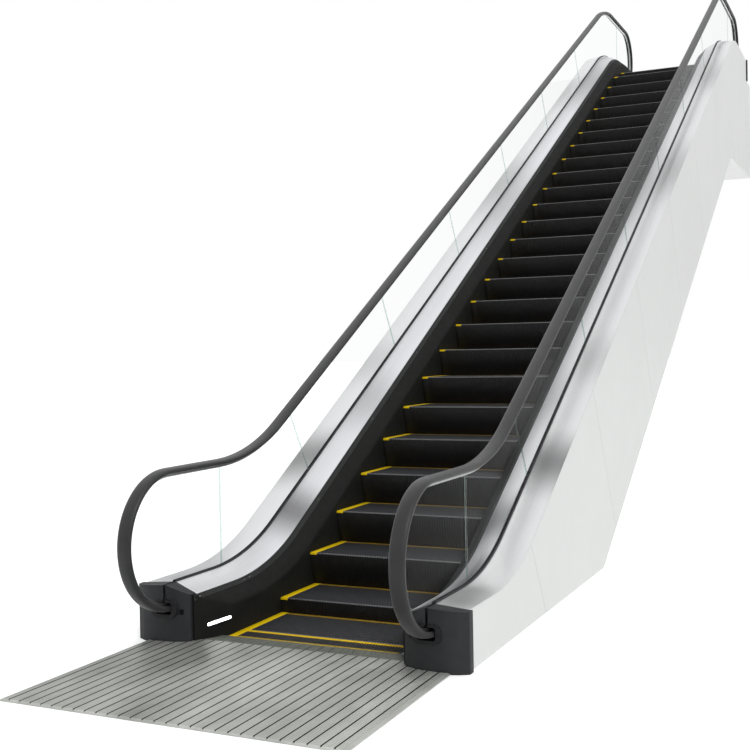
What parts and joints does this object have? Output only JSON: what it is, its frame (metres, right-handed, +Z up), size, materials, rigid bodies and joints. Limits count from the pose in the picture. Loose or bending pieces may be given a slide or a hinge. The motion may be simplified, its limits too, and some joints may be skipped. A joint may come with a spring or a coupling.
{
  "type": "escalator",
  "caption": "Passenger escalator with glass balustrades, black handrails, cleated steps, grooved landing plates and closed light grey sides, from lower landing to upper landing.",
  "frame": {"origin": "on the flat underside of the base pan, on the centre line, in the plane where the lower inlet boxes begin", "axes": "+Y along the machine from the lower to the upper landing, +X to the right when walking up, +Z up"},
  "size_m": [1.894, 12.4271, 6.007],
  "materials": {
    "balustrade_glass": "clear toughened glass",
    "cladding_paint": "light grey powder coat, smooth",
    "collar_rubber": "dark moulded collar with brush edge",
    "comb_aluminium": "cast comb with satin top",
    "deck_steel": "brushed along the run",
    "floor_aluminium": "grooved grey aluminium, satin",
    "guide_metal": "satin anodised strip under the handrail",
    "handrail_rubber": "smooth black rubber with a soft sheen",
    "inlet_plastic": "dark grey moulded cap, satin",
    "lamp_lens": "opal white lens, lit",
    "pan_steel": "galvanised sheet",
    "seat_rubber": "dark gasket line",
    "skirt_black": "black low-friction coating, satin",
    "soffit_paint": "light grey powder coat",
    "step_casting": "dark grey cast cleats",
    "track_steel": "primed steel",
    "truss_paint": "grey primer"
  },
  "bodies": {
    "root": {"base_pan": "pan_steel", "cross_beams": "truss_paint", "entry_lamps": "lamp_lens", "incline_steps": "step_casting", "left_balustrade_brackets": "truss_paint", "left_balustrade_glass": "balustrade_glass", "left_cladding": "cladding_paint", "left_glass_seat": "seat_rubber", "left_handrail": "handrail_rubber", "left_handrail_guide": "guide_metal", "left_inner_deck": "deck_steel", "left_lower_inlet_box": "inlet_plastic", "left_outer_deck": "deck_steel", "left_skirt": "skirt_black", "left_step_track": "track_steel", "left_truss_frame": "truss_paint", "left_upper_inlet_box": "inlet_plastic", "lower_comb_plate": "comb_aluminium", "lower_floor_plate": "floor_aluminium", "lower_inlet_collars": "collar_rubber", "lower_landing_steps": "step_casting", "right_balustrade_brackets": "truss_paint", "right_balustrade_glass": "balustrade_glass", "right_cladding": "cladding_paint", "right_glass_seat": "seat_rubber", "right_handrail": "handrail_rubber", "right_handrail_guide": "guide_metal", "right_inner_deck": "deck_steel", "right_lower_inlet_box": "inlet_plastic", "right_outer_deck": "deck_steel", "right_skirt": "skirt_black", "right_step_track": "track_steel", "right_truss_frame": "truss_paint", "right_upper_inlet_box": "inlet_plastic", "soffit": "soffit_paint", "upper_comb_plate": "comb_aluminium", "upper_end_plate": "soffit_paint", "upper_floor_plate": "floor_aluminium", "upper_inlet_collars": "collar_rubber", "upper_landing_steps": "step_casting", "upper_support_angle": "truss_paint"}
  },
  "joints": []
}
